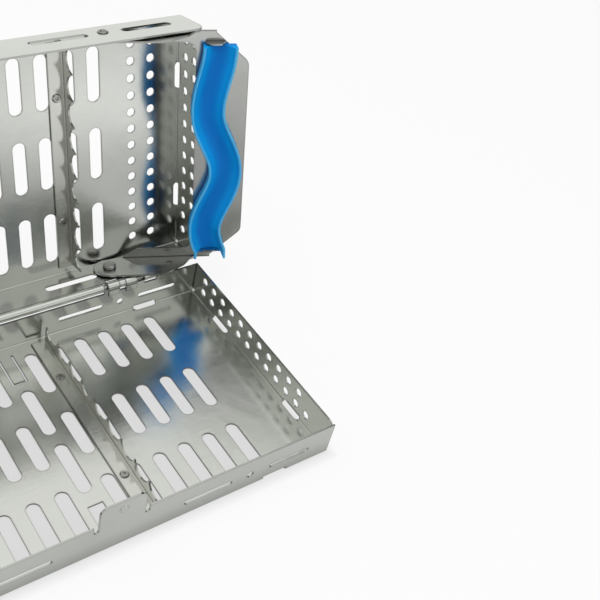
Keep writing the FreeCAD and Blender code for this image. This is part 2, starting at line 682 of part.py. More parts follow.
def rack_rivets(label):
    """Two rivets through a rack's foot and the sheet below it."""
    body = new_body(label)
    body.AllowCompound = True
    shank = new_sketch(body, "XY_Plane", "-sheet")
    heads = new_sketch(body, "XY_Plane", "sheet")
    for sign in ("", "-"):
        circle(shank, "-rivet_inset", sign + "rivet_spread / 2", "rivet_shank")
        circle(heads, "-rivet_inset", sign + "rivet_spread / 2", "rivet_head")
    pad(shank, "2 * sheet")
    dome = pad(heads, "rivet_rise")
    dome.TaperAngle = -40
    dents = new_sketch(body, "XY_Plane", "sheet + rivet_rise")
    for sign in ("", "-"):
        circle(dents, "-rivet_inset", sign + "rivet_spread / 2", "rivet_dent")
    pocket(dents, "rivet_dent_depth")
    return body


def hinge_pin():
    pin = doc.addObject("Part::Cylinder", "hinge_pin")
    pin.Label = "hinge_pin"
    bind(pin, "Radius", "pin_radius")
    bind(pin, "Height", "2 * link_end")
    pin.Placement = FreeCAD.Placement(
        FreeCAD.Vector(-value("link_end"), value(HINGE_Y), value(HINGE_Z)),
        FreeCAD.Rotation(FreeCAD.Vector(0, 1, 0), 90),
    )
    return pin


# Half length of the bracket over its arms: between the lid's long walls, less a gap each side.
ARMS = "((tray_depth + sheet + lid_gap) / 2 - arm_gap)"


def holddown_bracket():
    """U-shaped bracket. X runs from the pivot to the plate, Z down towards its flat."""
    body = new_body("holddown_bracket")
    far = "(frame_drop + sheet)"
    outline = new_sketch(body, "XZ_Plane")
    fall = "(arm_fall - arm_straight)"
    polygon(
        outline,
        [
            ("arm_start", far),
            ("0", "arm_end"),
            ("-arm_end * 0.5", "arm_end * 0.866"),
            ("-arm_end * 0.866", "arm_end * 0.5"),
            ("-arm_end", "0"),
            ("-arm_end * 0.866", "-arm_end * 0.5"),
            ("-arm_end * 0.5", "-arm_end * 0.866"),
            ("0", "-arm_end"),
            ("arm_straight", "-arm_end"),
            ("arm_straight + " + fall + " * 0.25", "-arm_end + (arm_end + frame_drop) * 0.13"),
            ("arm_straight + " + fall + " * 0.66", "-arm_end + (arm_end + frame_drop) * 0.52"),
            ("arm_straight + " + fall + " * 0.86", "-arm_end + (arm_end + frame_drop) * 0.86"),
            ("arm_fall", "frame_drop"),
            ("plate_shoulder", "frame_drop"),
            ("plate_shoulder", far),
        ],
    )
    pad(outline, "2 * " + ARMS, midplane=True)
    low = value(far)
    side = value(ARMS)
    fillet(
        body,
        lambda p, q: near(p.z, low) and near(q.z, low) and near(abs(p.y), side) and near(p.y, q.y),
        "bend_outer",
    )
    between = new_sketch(body, "XY_Plane", "frame_drop")
    reach = "(" + ARMS + " - sheet)"
    rectangle(between, "-2 * arm_end", "-" + reach, "2 * plate_end", reach)
    pocket(between)
    plate = new_sketch(body, "XY_Plane", "frame_drop")
    polygon(
        plate,
        [
            ("plate_shoulder", "-" + ARMS + " + bend_outer"),
            ("plate_end", "-plate_free / 2"),
            ("plate_end", "plate_free / 2"),
            ("plate_shoulder", ARMS + " - bend_outer"),
        ],
    )
    pad(plate, "sheet")
    window = new_sketch(body, "XY_Plane", "frame_drop - sheet")
    lip = "(" + ARMS + " - sheet - flange_width)"
    polygon(
        window,
        [
            ("-2 * arm_end", "-" + reach),
            ("arm_start + sheet", "-" + reach),
            ("flange_start", "-" + lip),
            ("plate_start", "-" + lip),
            ("plate_start", lip),
            ("flange_start", lip),
            ("arm_start + sheet", reach),
            ("-2 * arm_end", reach),
        ],
    )
    pocket(window, "3 * sheet", backwards=True)
    start = value("plate_start")
    shoulder = value("plate_end")
    fillet(
        body,
        lambda p, q: near(p.x, q.x) and near(p.y, q.y) and (near(p.x, start) or near(p.x, shoulder)),
        "plate_round",
    )
    bores = new_sketch(body, "XZ_Plane")
    circle(bores, "0", "0", "pivot_shank + pivot_fit")
    pocket(bores, "4 * " + ARMS, midplane=True)
    for sign in ("", "-"):
        bump = new_sketch(body, "XZ_Plane", sign + ARMS)
        circle(bump, "detent_x", "detent_z", "detent_radius")
        rise = pad(bump, "detent_rise", backwards=sign == "-")
        rise.TaperAngle = -55
        hollow = new_sketch(body, "XZ_Plane", sign + reach)
        circle(hollow, "detent_x", "detent_z", "detent_radius - detent_rise")
        pocket(hollow, "detent_rise", backwards=sign == "")
        stop = new_sketch(body, "XZ_Plane", sign + "(rail_length / 2 + stop_gap)")
        rectangle(
            stop,
            "stop_line - stop_width / 2",
            "frame_drop - stop_height",
            "stop_line + stop_width / 2",
            "frame_drop + sheet / 2",
        )
        pad(stop, "sheet", backwards=sign == "-")
    top = value("frame_drop - stop_height")
    fillet(body, lambda p, q: near(p.z, top) and near(q.z, top) and near(p.x, q.x), "stop_round")
    return body


def pivot_rivet(label):
    """Shouldered rivet: head inside the arm, shoulder in the gap, flared end outside the lid.

    It is turned about Y; y is measured outwards from the arm's inside."""
    body = new_body(label)
    profile = new_sketch(body, "XY_Plane")
    gap = "arm_gap"
    polygon(
        profile,
        [
            ("0", "-pivot_head_rise - pivot_play / 2"),
            ("pivot_head - 0.8 * pivot_head_rise", "-pivot_head_rise - pivot_play / 2"),
            ("pivot_head", "-pivot_head_rise / 3 - pivot_play / 2"),
            ("pivot_head", "-pivot_play / 2"),
            ("pivot_shank", "-pivot_play / 2"),
            ("pivot_shank", "sheet + pivot_play / 2"),
            ("pivot_shoulder", "sheet + pivot_play / 2"),
            ("pivot_shoulder", "sheet + " + gap),
            ("pivot_shank", "sheet + " + gap),
            ("pivot_shank", "2 * sheet + " + gap),
            ("pivot_tail", "2 * sheet + " + gap),
            ("pivot_tail", "2 * sheet + pivot_tail_rise / 2 + " + gap),
            ("pivot_tail - pivot_tail_rise / 2", "2 * sheet + pivot_tail_rise + " + gap),
            ("pivot_shank - pivot_tail_rise / 2", "2 * sheet + pivot_tail_rise + " + gap),
            ("pivot_shank - pivot_tail_rise", "2 * sheet + " + gap),
            ("0", "2 * sheet + " + gap),
        ],
    )
    turned = body.newObject("PartDesign::Revolution", label + "_turned")
    turned.Profile = profile
    turned.ReferenceAxis = (origin_item(body, "Y_Axis"), [""])
    turned.Angle = 360
    doc.recompute()
    return body


def silicone_rail():
    """Wavy trough on the bracket's plate, open away from it, in the bracket's own frame."""
    half = value("rail_length") / 2
    steps = 14
    line = []
    for n in range(steps + 1):
        y = half - 2 * half * n / steps
        turn = 2 * math.pi * (half - y - value("rail_phase")) / value("rail_period")
        calm = value("rail_calm") if turn > math.pi else 1.0
        slope = calm * value("rail_sway") * math.sin(turn) * 2 * math.pi / value("rail_period")
        swing = calm * (math.cos(turn) + 1) - 1
        centre = FreeCAD.Vector(value("rail_line") + value("rail_sway") * swing, y, 0)
        across = FreeCAD.Vector(1, -slope, 0).normalize()
        line.append((centre, across))

    def ribbon(width, level, height, grow):
        sides = []
        for sign in (1, -1):
            points = [centre + across * (sign * width / 2) for centre, across in line]
            points[0].y = half + grow
            points[-1].y = -half - grow
            curve = Part.BSplineCurve()
            curve.interpolate(points)
            sides.append(curve.toShape())
        ends = []
        for end in (0, 1):
            first = sides[0].Vertexes[end].Point
            last = sides[1].Vertexes[end].Point
            ends.append(Part.LineSegment(first, last).toShape())
        face = Part.Face(Part.Wire([sides[0], ends[1], sides[1], ends[0]]))
        face.translate(FreeCAD.Vector(0, 0, level))
        return face.extrude(FreeCAD.Vector(0, 0, -height))

    seat = value("frame_drop")
    body = ribbon(value("rail_width"), seat, value("rail_height"), 0)
    groove = ribbon(
        value("rail_width - 2 * rail_wall"),
        seat - value("rail_floor"),
        value("rail_height"),
        value("rail_wall"),
    )
    rail = doc.addObject("Part::Feature", "silicone_rail")
    rail.Label = "silicone_rail"
    rail.Shape = body.cut(groove)
    return rail


# Where the lid stands when open, and where the bracket lies on the lid's end wall.
hinge = FreeCAD.Vector(0, value(HINGE_Y), value(HINGE_Z))
opening = FreeCAD.Rotation(FreeCAD.Vector(1, 0, 0), -value("open_angle"))
LID_OPEN = FreeCAD.Placement(hinge - opening.multVec(hinge), opening)
rim_x = value(HALF_X + " - pivot_x")
rim_z = value(PANEL_Z + " - " + LID_EDGE + " - pivot_drop")
reach_to_rim = math.hypot(rim_x, rim_z)
lean = math.atan2(rim_z, rim_x) + math.asin(value("frame_drop + sheet + rest_gap") / reach_to_rim)
pivot = FreeCAD.Vector(
    value("pivot_x"),
    value(HALF_Y + " - " + LID_FRONT) / 2,
    value(PANEL_Z + " - pivot_drop"),
)
BRACKET = LID_OPEN.multiply(
    FreeCAD.Placement(pivot, FreeCAD.Rotation(FreeCAD.Vector(0, 1, 0), math.degrees(lean)))
)

upright = FreeCAD.Rotation()
turned_round = FreeCAD.Rotation(FreeCAD.Vector(0, 0, 1), 180)
upside_down = FreeCAD.Rotation(FreeCAD.Vector(1, 0, 0), 180)
turned_over = FreeCAD.Rotation(FreeCAD.Vector(0, 1, 0), 180)
floor = value("sheet")
panel = value(PANEL_Z)
shift = value("lid_rack_shift")
RACKS = {
    "base_rack_right": FreeCAD.Placement(FreeCAD.Vector(value("base_rack_right_x"), 0, floor), upright),
    "base_rack_left": FreeCAD.Placement(FreeCAD.Vector(-value("base_rack_left_x"), 0, floor), turned_round),
    "lid_rack_right": LID_OPEN.multiply(
        FreeCAD.Placement(FreeCAD.Vector(value("lid_rack_x"), shift, panel), upside_down)
    ),
    "lid_rack_left": LID_OPEN.multiply(
        FreeCAD.Placement(FreeCAD.Vector(-value("lid_rack_x"), shift, panel), turned_over)
    ),
}

pieces = [base_tray()]
lid = lid_tray()
lid.Placement = LID_OPEN
pieces.append(lid)
for label, place in RACKS.items():
    strip = rack(label)
    strip.Placement = place
    rivets = rack_rivets(label + "_rivets")
    rivets.Placement = place
    pieces += [strip, rivets]
pieces.append(hinge_pin())
bracket = holddown_bracket()
bracket.Placement = BRACKET
pieces.append(bracket)
arm_inside = value(ARMS + " - sheet")
for label, side in (("pivot_rivet_back", 1), ("pivot_rivet_front", -1)):
    rivet = pivot_rivet(label)
    outward = FreeCAD.Rotation(FreeCAD.Vector(0, 0, 1), 0 if side > 0 else 180)
    seat = FreeCAD.Placement(pivot + FreeCAD.Vector(0, side * arm_inside, 0), outward)
    rivet.Placement = LID_OPEN.multiply(seat)
    pieces.append(rivet)
rail = silicone_rail()
rail.Placement = BRACKET
pieces.append(rail)
doc.recompute()

for item in doc.Objects:
    if "Invalid" in item.State or "Error" in item.State:
        raise RuntimeError("%s failed: %s" % (item.Label, item.State))
for piece in pieces:
    if piece.Shape.isNull() or not piece.Shape.isValid():
        raise RuntimeError("%s has no valid shape" % piece.Label)
os.makedirs("parts", exist_ok=True)
for piece in pieces:
    piece.Shape.exportStep("parts/%s.step" % piece.Label)
    box = piece.Shape.BoundBox
    print(
        "%-24s solids %d  volume %9.1f  X %7.2f..%7.2f  Y %7.2f..%7.2f  Z %7.2f..%7.2f"
        % (
            piece.Label,
            len(piece.Shape.Solids),
            piece.Shape.Volume,
            box.XMin,
            box.XMax,
            box.YMin,
            box.YMax,
            box.ZMin,
            box.ZMax,
        )
    )
print("bracket lies at %.2f degrees from the panel" % math.degrees(lean))
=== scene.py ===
"""Looks of the hinged instrument tray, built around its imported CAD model.

Lengths are metres in the CAD frame: X along the hinge, +Y to the back, +Z up. The silicone rail and the
pivot rivets are written in millimetres and turned into metres as their meshes are made.
"""

import json
import math

import bmesh
import bpy
from mathutils import Matrix, Vector
from mathutils.geometry import tessellate_polygon


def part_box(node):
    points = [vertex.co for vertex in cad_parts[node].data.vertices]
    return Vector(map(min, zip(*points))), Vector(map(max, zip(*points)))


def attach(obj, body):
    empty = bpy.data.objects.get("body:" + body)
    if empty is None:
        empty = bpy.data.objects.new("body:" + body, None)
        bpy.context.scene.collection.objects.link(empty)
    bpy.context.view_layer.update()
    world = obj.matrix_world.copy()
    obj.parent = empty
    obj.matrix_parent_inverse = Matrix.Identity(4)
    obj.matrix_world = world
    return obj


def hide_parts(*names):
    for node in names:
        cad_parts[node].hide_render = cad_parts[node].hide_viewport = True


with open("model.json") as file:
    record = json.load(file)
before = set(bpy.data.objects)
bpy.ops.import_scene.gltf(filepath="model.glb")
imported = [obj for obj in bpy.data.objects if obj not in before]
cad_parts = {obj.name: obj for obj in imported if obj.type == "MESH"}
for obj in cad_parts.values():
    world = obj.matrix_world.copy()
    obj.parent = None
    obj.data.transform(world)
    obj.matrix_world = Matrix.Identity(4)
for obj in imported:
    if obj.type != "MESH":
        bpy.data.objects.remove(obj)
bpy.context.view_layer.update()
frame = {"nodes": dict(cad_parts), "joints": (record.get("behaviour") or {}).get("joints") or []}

MM = 0.001
SILICONE_NODE = "silicone_rail"


# ---------------------------------------------------------------- where the bracket lies

def joint(name):
    return next(j for j in frame["joints"] if j["name"] == name)


def bracket_frame():
    """The bracket's axes at rest: X across its plate, Y along its pivot line, Z through its plate."""
    swing = joint("bracket_swing")
    lean = math.pi - math.radians(swing["range_deg"][1])
    along = Vector(swing["axis"]).normalized()
    right = Vector((1.0, 0.0, 0.0))
    panel = right.cross(along)
    out = right * math.cos(lean) - panel * math.sin(lean)
    down = right * math.sin(lean) + panel * math.cos(lean)
    axes = Matrix((out, along, down)).transposed().to_4x4()
    return Matrix.Translation(Vector(swing["pos_m"])) @ axes


# ---------------------------------------------------------------- node trees

FREE_SAMPLES = 8

# The painted shade is darkest where a surface's free share is below the first of these, and absent where it
# is above the second.
PAINTED_SHADE_FULL, PAINTED_SHADE_FROM = 0.35, 0.95


class Nodes:
    """Short names for building a material's node tree."""

    def __init__(self, name):
        self.material = bpy.data.materials.new(name)
        self.material.use_nodes = True
        self.tree = self.material.node_tree
        self.tree.nodes.clear()
        self.shader = self.add("ShaderNodeBsdfPrincipled")
        self.output = self.add("ShaderNodeOutputMaterial")
        self.link(self.shader.outputs[0], self.output.inputs["Surface"])

    @classmethod
    def in_tree(cls, tree):
        """The same short names for a tree that exists."""
        n = cls.__new__(cls)
        n.tree = tree
        tree.nodes.clear()
        return n

    def add(self, kind, **settings):
        node = self.tree.nodes.new(kind)
        for key, value in settings.items():
            setattr(node, key, value)
        return node

    def link(self, source, target):
        self.tree.links.new(source, target)

    def constant(self, number):
        node = self.add("ShaderNodeValue")
        node.outputs[0].default_value = number
        return node.outputs[0]

    def object_point(self):
        return self.add("ShaderNodeTexCoord").outputs["Object"]

    def split(self, vector):
        """The X, Y and Z outputs of a vector."""
        parts = self.add("ShaderNodeSeparateXYZ")
        self.link(vector, parts.inputs[0])
        return parts.outputs

    def scaled(self, source, scale):
        """A vector multiplied by (x, y, z)."""
        node = self.add("ShaderNodeVectorMath", operation="MULTIPLY")
        self.link(source, node.inputs[0])
        node.inputs[1].default_value = scale
        return node.outputs[0]

    def noise(self, vector, scale, detail=2.0, roughness=0.5, distortion=0.0):
        node = self.add("ShaderNodeTexNoise")
        self.link(vector, node.inputs["Vector"])
        node.inputs["Scale"].default_value = scale
        node.inputs["Detail"].default_value = detail
        node.inputs["Roughness"].default_value = roughness
        node.inputs["Distortion"].default_value = distortion
        return node.outputs["Fac"]

    def spread(self, source, low, high, start=0.3, end=0.7):
        """Maps start..end to low..high, clamped. The defaults are the usual range of a noise."""
        node = self.add("ShaderNodeMapRange")
        self.link(source, node.inputs["Value"])
        node.inputs["From Min"].default_value = start
        node.inputs["From Max"].default_value = end
        node.inputs["To Min"].default_value = low
        node.inputs["To Max"].default_value = high
        return node.outputs["Result"]

    def math(self, operation, one, two):
        """A Math node on two outputs or numbers."""
        node = self.add("ShaderNodeMath", operation=operation)
        for socket, value in zip(node.inputs, (one, two)):
            if isinstance(value, float):
                socket.default_value = value
            else:
                self.link(value, socket)
        return node.outputs[0]

    def total(self, first, *others):
        """The sum of several outputs or numbers."""
        result = first
        for other in others:
            result = self.math("ADD", result, other)
        return result

    def blend_value(self, fac, one, two):
        node = self.add("ShaderNodeMix", data_type="FLOAT")
        self.link(fac, node.inputs["Factor"])
        self.link(one, node.inputs[2])
        self.link(two, node.inputs[3])
        return node.outputs[0]

    def blend_vector(self, fac, one, two):
        node = self.add("ShaderNodeMix", data_type="VECTOR")
        self.link(fac, node.inputs["Factor"])
        self.link(one, node.inputs[4])
        self.link(two, node.inputs[5])
        return node.outputs[1]

    def blend_colour(self, fac, one, two):
        """A mix of two fixed colours."""
        node = self.add("ShaderNodeMix", data_type="RGBA")
        self.link(fac, node.inputs["Factor"])
        node.inputs[6].default_value = one
        node.inputs[7].default_value = two
        return node.outputs[2]

    def free_share(self, distance, inside=False):
        """1 where no surface lies near, outside the metal or inside it, and less where one does."""
        node = self.add("ShaderNodeAmbientOcclusion", samples=FREE_SAMPLES, inside=inside)
        node.inputs["Distance"].default_value = distance
        return node.outputs["AO"]

    def with_painted_shade(self, colour, share, shade):
        """Painted shade: the colour where the free share is high, and only the part shade of it where it is
        low.
        """
        node = self.add("ShaderNodeMix", data_type="RGBA", blend_type="MULTIPLY")
        node.inputs["Factor"].default_value = 1.0
        self.link(colour, node.inputs[6])
        grey = self.add("ShaderNodeCombineColor")
        level = self.spread(share, shade, 1.0, PAINTED_SHADE_FULL, PAINTED_SHADE_FROM)
        for channel in ("Red", "Green", "Blue"):
            self.link(level, grey.inputs[channel])
        self.link(grey.outputs[0], node.inputs[7])
        return node.outputs[2]

    def bump(self, height, distance, strength=1.0, below=None):
        node = self.add("ShaderNodeBump")
        self.link(height, node.inputs["Height"])
        node.inputs["Distance"].default_value = distance
        node.inputs["Strength"].default_value = strength
        if below is not None:
            self.link(below, node.inputs["Normal"])
        return node.outputs["Normal"]


# ---------------------------------------------------------------- steel

CREVICE = 0.0011        # reach of the painted shade in seams and around rivets
CREVICE_SHADE = 0.3
RIVET_SHADE = 0.2
# Painted shade along the sheet's cut edges, as dark lines round its slots and holes.
CUT_REACH = 0.0009      # just under the sheet's thickness: only cut edges have a face this near inside
CUT_SHADE = 0.5

# The sheet's patterns: scales in waves per metre and depths in metres. The grain is long in one direction.
FLAT_GRAIN = (30.0, 2600.0, 2600.0)
END_WALL_GRAIN = (2600.0, 2600.0, 60.0)
END_WALL_FROM, END_WALL_FULL = 0.6, 0.8     # how squarely a face looks along X
GRAIN_ROUGHNESS = (-0.012, 0.02)            # added to the sheet's own
CLOUD_SCALE = 26.0
CLOUD_DEPTH = 0.00022
CLOUD_ROUGHNESS = (0.86, 1.16)              # the sheet's own is multiplied by this
CLOUD_FROM, CLOUD_FULL = 0.2, 0.8
FINE_CLOUD_SCALE = 160.0
FINE_CLOUD_ROUGHNESS = (-0.008, 0.012)      # added
SCRATCH_SCALE = (900.0, 70.0, 900.0)
SCRATCH_FROM, SCRATCH_FULL = 0.66, 0.74     # only the peaks of the noise are scratches
SCRATCH_ROUGHNESS = 0.07                    # added

# The same for rivets and pin.
MARK_SCALE = 1500.0
MARK_DEPTH = 0.00002
MARK_ROUGHNESS = (0.7, 1.5)                 # the fastener's own is multiplied by this
DENT_SCALE = 420.0
DENT_DEPTH = 0.00006


def rolled_steel(name, colour, dark, roughness, grain_depth):
    """Electropolished sheet: rolling grain that follows the folds, faint clouds and hair scratches, with
    painted shade along cut edges, in seams and around rivets.
    """
    n = Nodes(name)
    place = n.add("ShaderNodeTexCoord")
    point = place.outputs["Object"]
    # The sheet's grain runs along X, and turns up with the walls at both ends.
    sideways = n.math("ABSOLUTE", n.split(place.outputs["Normal"])["X"], 0.0)
    end_wall = n.spread(sideways, 0.0, 1.0, END_WALL_FROM, END_WALL_FULL)
    grain_at = n.blend_vector(end_wall, n.scaled(point, FLAT_GRAIN), n.scaled(point, END_WALL_GRAIN))
    grain = n.noise(grain_at, 1.0, detail=3.0, roughness=0.6)
    clouds = n.noise(point, CLOUD_SCALE, detail=3.0, roughness=0.55, distortion=0.6)
    fine_clouds = n.noise(point, FINE_CLOUD_SCALE)
    scratches = n.noise(n.scaled(point, SCRATCH_SCALE), 1.0, detail=4.0, roughness=0.7, distortion=2.5)
    scratched = n.spread(scratches, 0.0, 1.0, SCRATCH_FROM, SCRATCH_FULL)
    # Roughness: even polish, duller where the clouds gather, with the grain through it.
    rough = n.total(
        n.spread(clouds, *(roughness * part for part in CLOUD_ROUGHNESS)),
        n.spread(grain, *GRAIN_ROUGHNESS),
        n.spread(fine_clouds, *FINE_CLOUD_ROUGHNESS),
        n.math("MULTIPLY", scratched, SCRATCH_ROUGHNESS),
    )
    n.link(rough, n.shader.inputs["Roughness"])
    tone = n.blend_colour(n.spread(clouds, 0.0, 1.0, CLOUD_FROM, CLOUD_FULL), dark, colour)
    # Painted shade: darker along the cut edges, and in seams and around rivets.
    tone = n.with_painted_shade(tone, n.free_share(CUT_REACH, inside=True), CUT_SHADE)
    tone = n.with_painted_shade(tone, n.free_share(CREVICE), CREVICE_SHADE)
    n.link(tone, n.shader.inputs["Base Color"])
    clouded = n.bump(clouds, CLOUD_DEPTH, strength=0.55)
    n.link(n.bump(grain, grain_depth, strength=0.5, below=clouded), n.shader.inputs["Normal"])
    n.shader.inputs["Metallic"].default_value = 1.0
    return n.material


def turned_steel(name, colour, dark, roughness):
    """Rivets and pin: harder polish with fine marks from the heading tool, and painted shade where they
    meet the sheet.
    """
    n = Nodes(name)
    point = n.object_point()
    marks = n.noise(point, MARK_SCALE, detail=3.0, roughness=0.6)
    dents = n.noise(point, DENT_SCALE)
    rough = n.spread(marks, *(roughness * part for part in MARK_ROUGHNESS))
    n.link(rough, n.shader.inputs["Roughness"])
    marked = n.bump(marks, MARK_DEPTH, strength=0.5)
    n.link(n.bump(dents, DENT_DEPTH, strength=0.6, below=marked), n.shader.inputs["Normal"])
    tone = n.blend_colour(n.spread(dents, 0.0, 1.0), dark, colour)
    # Painted shade around the rivet heads and in seams.
    n.link(n.with_painted_shade(tone, n.free_share(CREVICE), RIVET_SHADE), n.shader.inputs["Base Color"])
    n.shader.inputs["Metallic"].default_value = 1.0
    return n.material


SHEET_STEEL = rolled_steel(
    "sheet_steel",
    colour=(0.67, 0.685, 0.645, 1.0),
    dark=(0.61, 0.625, 0.59, 1.0),
    roughness=0.155,
    grain_depth=0.000035,
)
RACK_STEEL = rolled_steel(
    "rack_steel",
    colour=(0.65, 0.66, 0.615, 1.0),
    dark=(0.59, 0.60, 0.56, 1.0),
    roughness=0.18,
    grain_depth=0.00004,
)
BRACKET_STEEL = rolled_steel(
    "bracket_steel",
    colour=(0.60, 0.61, 0.585, 1.0),
    dark=(0.53, 0.54, 0.52, 1.0),
    roughness=0.17,
    grain_depth=0.00003,
)
FASTENER_STEEL = turned_steel(
    "fastener_steel",
    colour=(0.42, 0.42, 0.40, 1.0),
    dark=(0.336, 0.336, 0.32, 1.0),
    roughness=0.19,
)


# ---------------------------------------------------------------- silicone

# Mesh attribute that picks the colour: 0 in the rail's valley and at its foot, and 1 on its lips. This
# colour is painted light: painted shade darkens the valley, and the thin lips are painted paler for light
# shining through them. The plain body colour lies from BODY_FROM to BODY_TO.
PAINTED_LIGHT_ATTRIBUTE = "painted_light"
BODY_FROM, BODY_TO = 0.35, 0.75

# The skin's patterns: scales in waves per metre and depths in metres.
FLOW_SCALE = 55.0
FLOW_STRETCH = (1.0, 0.5, 0.5)
FLOW_DEPTH = 0.0003
FLOW_ROUGHNESS = (0.40, 0.50)
FLOW_TINT = 0.06        # how far the flow marks shift the colour towards lip or valley
SKIN_SCALE = 2400.0
SKIN_DEPTH = 0.00003
DUST_SCALE = 900.0
DUST_FROM, DUST_FULL = 0.5, 0.75
DUST_ROUGHNESS = 0.10


def moulded_silicone(name, lip, body, valley):
    """Blue silicone: satin skin with painted shade in its valley and a painted glow on its thin lips, with
    mould grain, flow marks and a little dust.
    """
    n = Nodes(name)
    point = n.object_point()
    painted_light = n.add("ShaderNodeAttribute", attribute_name=PAINTED_LIGHT_ATTRIBUTE).outputs["Fac"]
    flow = n.noise(n.scaled(point, FLOW_STRETCH), FLOW_SCALE, detail=3.0, distortion=0.8)
    skin = n.noise(point, SKIN_SCALE)
    dust = n.noise(point, DUST_SCALE, detail=4.0, roughness=0.7)
    # Painted light: the valley colour is painted shade, and the paler lip colour a painted glow of light
    # through the thin lips.
    colour = n.add("ShaderNodeValToRGB")
    n.link(n.total(painted_light, n.spread(flow, -FLOW_TINT, FLOW_TINT)), colour.inputs["Fac"])
    ramp = colour.color_ramp
    ramp.elements[0].color = valley
    ramp.elements[1].color = lip
    for place in (BODY_FROM, BODY_TO):
        ramp.elements.new(place).color = body
    n.link(colour.outputs["Color"], n.shader.inputs["Base Color"])
    dusty = n.spread(dust, 0.0, DUST_ROUGHNESS, DUST_FROM, DUST_FULL)
    n.link(n.total(n.spread(flow, *FLOW_ROUGHNESS), dusty), n.shader.inputs["Roughness"])
    uneven = n.bump(flow, FLOW_DEPTH, strength=0.4)
    n.link(n.bump(skin, SKIN_DEPTH, strength=0.5, below=uneven), n.shader.inputs["Normal"])
    n.shader.inputs["Subsurface Weight"].default_value = 0.2
    n.shader.inputs["Subsurface Radius"].default_value = (0.25, 0.6, 1.0)
    n.shader.inputs["Subsurface Scale"].default_value = 0.002
    n.shader.inputs["IOR"].default_value = 1.41
    n.shader.inputs["Specular IOR Level"].default_value = 0.16
    return n.material


SILICONE = moulded_silicone(
    "blue_silicone",
    lip=(0.095, 0.46, 0.78, 1.0),
    body=(0.003, 0.31, 0.76, 1.0),
    valley=(0.001, 0.185, 0.60, 1.0),
)


# ---------------------------------------------------------------- materials of the CAD nodes

def node_material(node):
    if "rivet" in node or node == "hinge_pin":
        return FASTENER_STEEL
    if "_rack_" in node:
        return RACK_STEEL
    if node == "holddown_bracket":
        return BRACKET_STEEL
    if node == SILICONE_NODE:
        return SILICONE
    return SHEET_STEEL


for node, item in frame["nodes"].items():
    item.data.materials.clear()
    item.data.materials.append(node_material(node))


# ---------------------------------------------------------------- meshes from rings of points

def joined_rings(bm, rings):
    """Faces between neighbouring closed rings. A ring of one point makes a fan."""
    for one, two in zip(rings, rings[1:]):
        for k in range(max(len(one), len(two))):
            first = (one[k % len(one)], one[(k + 1) % len(one)])
            second = (two[(k + 1) % len(two)], two[k % len(two)])
            bm.faces.new(list(dict.fromkeys(first + second)))


def finished_piece(name, bm, place, sharp_degrees, material):
    """The bmesh as a smooth object of that name, moved to its place and given its material."""
    mesh = bpy.data.meshes.new(name)
    bmesh.ops.recalc_face_normals(bm, faces=bm.faces)
    bm.to_mesh(mesh)
    bm.free()
    mesh.transform(place)
    for face in mesh.polygons:
        face.use_smooth = True
    mesh.set_sharp_from_angle(angle=math.radians(sharp_degrees))
    mesh.materials.append(material)
    piece = bpy.data.objects.new(name, mesh)
    bpy.context.scene.collection.objects.link(piece)
    return piece


# ---------------------------------------------------------------- silicone rail

SEAT = 11.4            # the plate's near face, from the pivot line
RAIL_LINE = 63.2       # pivot to the rail's middle line
RAIL_WIDTH = 19.3
RAIL_HEIGHT = 8.0
RAIL_FLOOR = 1.9       # height of the valley's lowest line
RAIL_LENGTH = 126.8
RAIL_SWAY = 5.6        # how far the wave swings to each side
RAIL_PERIOD = 75.0
RAIL_PHASE = 52.0      # from the back end to the wave's outward crest
RAIL_CALM = 0.55       # share of the swing beyond the inward crest near the front end
LIP = 0.8              # radius of the walls' round edge
RAIL_INNER = RAIL_WIDTH / 2 - 2 * LIP      # half the width between the lips
DRAFT = 0.45           # the foot is this much narrower on each side
FOOT_ROUND = 0.5       # the foot's rounded corner
FOOT_STEP = 0.12       # and its middle point, on both axes
FLAT_UNDER = 6.0       # the underside's own points reach this far to each side
VALLEY = 2.1           # power of the curve from the valley up to the lips
VALLEY_SPACING = 0.8   # below 1, its points lie closer together near the lips
PRONG = 5.0            # how far the walls pass the floor at the back end, on each side of the end stop
PRONG_AT_FOOT = 0.75   # share of that at the walls' foot
PRONG_FROM = 0.56      # shares of the half width where the prongs begin and are full
PRONG_FULL = 0.92
END_HOLLOW = 4.0       # steeper inner walls at the back end, which clear the base as the lid closes
CUT_BACK = 0.9         # how far the walls stop short of the floor at the front end
END_PARTS = 9.0        # each end is shaped over one part in this many of the length
SQUARE_PARTS = 14.0    # and its sections turn straight across the plate over one part in this many
PAINTED_LIGHT_POWER = 1.2       # the higher, the nearer the lips the colour starts to change
RAIL_SHARP = 50.0      # degrees: an edge that turns more stays sharp
STATIONS = 180         # steps along the rail; the other three go once around half a section
WALL_STEPS = 4
LIP_STEPS = 8
VALLEY_STEPS = 14


def rail_section():
    """Gutter as (across, height) points: outside, over a round lip, down to the valley, and back up."""
    top = RAIL_WIDTH / 2
    foot = top - DRAFT
    straight = RAIL_HEIGHT - LIP - FOOT_ROUND
    right = [(foot - FOOT_ROUND, 0.0), (foot - FOOT_STEP, FOOT_STEP), (foot, FOOT_ROUND)]
    for k in range(1, WALL_STEPS):
        right.append((foot + DRAFT * k / WALL_STEPS, FOOT_ROUND + straight * k / WALL_STEPS))
    for k in range(LIP_STEPS + 1):
        turn = math.pi * k / LIP_STEPS
        right.append((top - LIP + LIP * math.cos(turn), RAIL_HEIGHT - LIP + LIP * math.sin(turn)))
    rise = RAIL_HEIGHT - LIP - RAIL_FLOOR
    for k in range(VALLEY_STEPS - 1, 0, -1):
        share = (k / VALLEY_STEPS) ** VALLEY_SPACING
        right.append((RAIL_INNER * share, RAIL_FLOOR + rise * share ** VALLEY))
    left = [(-u, h) for u, h in reversed(right)]
    under = [(FLAT_UNDER * k / 2, 0.0) for k in (-2, -1, 0, 1, 2)]
    return right + [(0.0, RAIL_FLOOR)] + left + under


